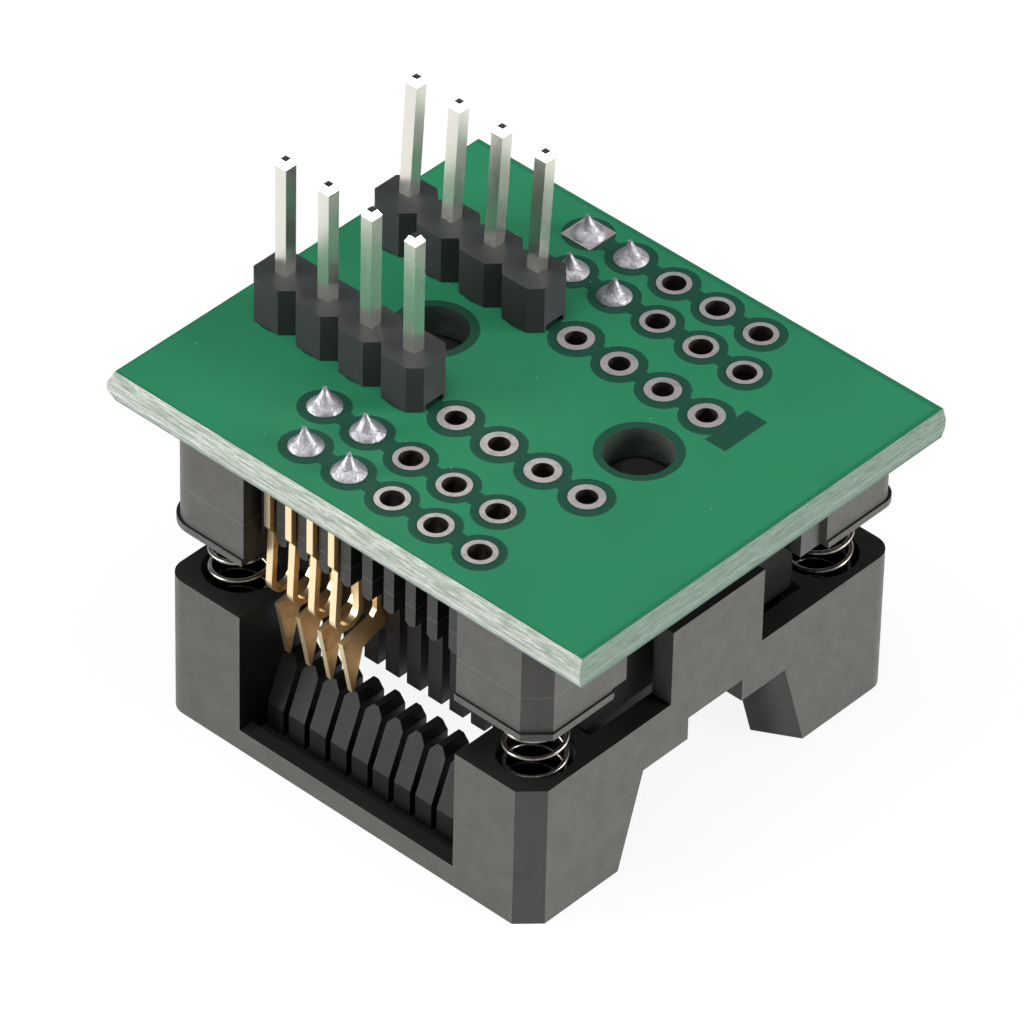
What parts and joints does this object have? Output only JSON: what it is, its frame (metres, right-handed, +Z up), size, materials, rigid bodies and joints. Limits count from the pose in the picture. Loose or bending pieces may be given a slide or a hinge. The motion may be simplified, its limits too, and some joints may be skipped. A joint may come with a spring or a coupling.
{
  "type": "ic programming adapter",
  "caption": "Sprung open-top chip socket under a drilled circuit board with header pins on top; it plugs a surface-mount memory chip into a programmer.",
  "frame": {"origin": "centre of the footprint, on the surface that the cover's rim rests on", "axes": "+X along the contact rows from the header's end to the open end, +Y from the near row of contacts to the far one, +Z up from the cover through the board to the header pins"},
  "size_m": [0.0276, 0.0237, 0.0258],
  "materials": {
    "board_laminate": "green solder mask over glass-fibre laminate",
    "tinned_copper": "bright tinned copper",
    "header_plastic": "moulded, satin",
    "pin_tin": "bright tin",
    "solder": "satin solder",
    "base_plastic": "moulded, fine mottled matte",
    "cover_plastic": "moulded, fine mottled matte",
    "contact_gold": "gold flash on sheet bronze, bright sheared edges",
    "spring_steel": "drawn wire"
  },
  "bodies": {
    "root": {"circuit_board": "board_laminate", "header_hole_rings": "tinned_copper", "socket_hole_rings": "tinned_copper", "header_strip_near": "header_plastic", "header_strip_far": "header_plastic", "header_pin_near_1": "pin_tin", "header_pin_near_2": "pin_tin", "header_pin_near_3": "pin_tin", "header_pin_near_4": "pin_tin", "header_pin_far_1": "pin_tin", "header_pin_far_2": "pin_tin", "header_pin_far_3": "pin_tin", "header_pin_far_4": "pin_tin", "header_solder_near_1": "solder", "header_solder_near_2": "solder", "header_solder_near_3": "solder", "header_solder_near_4": "solder", "header_solder_far_1": "solder", "header_solder_far_2": "solder", "header_solder_far_3": "solder", "header_solder_far_4": "solder", "socket_base": "base_plastic", "contact_stem_near_1": "contact_gold", "contact_stem_near_2": "contact_gold", "contact_stem_near_3": "contact_gold", "contact_stem_near_4": "contact_gold", "contact_stem_far_1": "contact_gold", "contact_stem_far_2": "contact_gold", "contact_stem_far_3": "contact_gold", "contact_stem_far_4": "contact_gold", "contact_solder_near_1": "solder", "contact_solder_near_2": "solder", "contact_solder_near_3": "solder", "contact_solder_near_4": "solder", "contact_solder_far_1": "solder", "contact_solder_far_2": "solder", "contact_solder_far_3": "solder", "contact_solder_far_4": "solder", "spring_left_near": "spring_steel", "spring_left_far": "spring_steel", "spring_right_near": "spring_steel", "spring_right_far": "spring_steel"},
    "cover_body": {"cover": "cover_plastic"},
    "near_contact_arms": {"contact_arm_near_1": "contact_gold", "contact_arm_near_2": "contact_gold", "contact_arm_near_3": "contact_gold", "contact_arm_near_4": "contact_gold"},
    "far_contact_arms": {"contact_arm_far_1": "contact_gold", "contact_arm_far_2": "contact_gold", "contact_arm_far_3": "contact_gold", "contact_arm_far_4": "contact_gold"}
  },
  "joints": [
    {"name": "cover_slide", "type": "slide", "parent": "root", "child": "cover_body", "axis": [0, 0, 1], "range_m": [0, 0.0024], "stiffness_N_per_m": 800, "springref_m": -0.0025, "deforming": ["spring_left_near", "spring_left_far", "spring_right_near", "spring_right_far"]},
    {"name": "near_contact_swing", "type": "hinge", "parent": "root", "child": "near_contact_arms", "pos_m": [0, -0.00817, 0.01235], "axis": [1, 0, 0], "range_deg": [-5.2, 0]},
    {"name": "far_contact_swing", "type": "hinge", "parent": "root", "child": "far_contact_arms", "pos_m": [0, 0.00873, 0.01235], "axis": [1, 0, 0], "range_deg": [0, 5.2]}
  ],
  "couplings": [
    {"joint": "near_contact_swing", "follows": "cover_slide", "rad_per_m": -37.8},
    {"joint": "far_contact_swing", "follows": "cover_slide", "rad_per_m": 37.8}
  ]
}
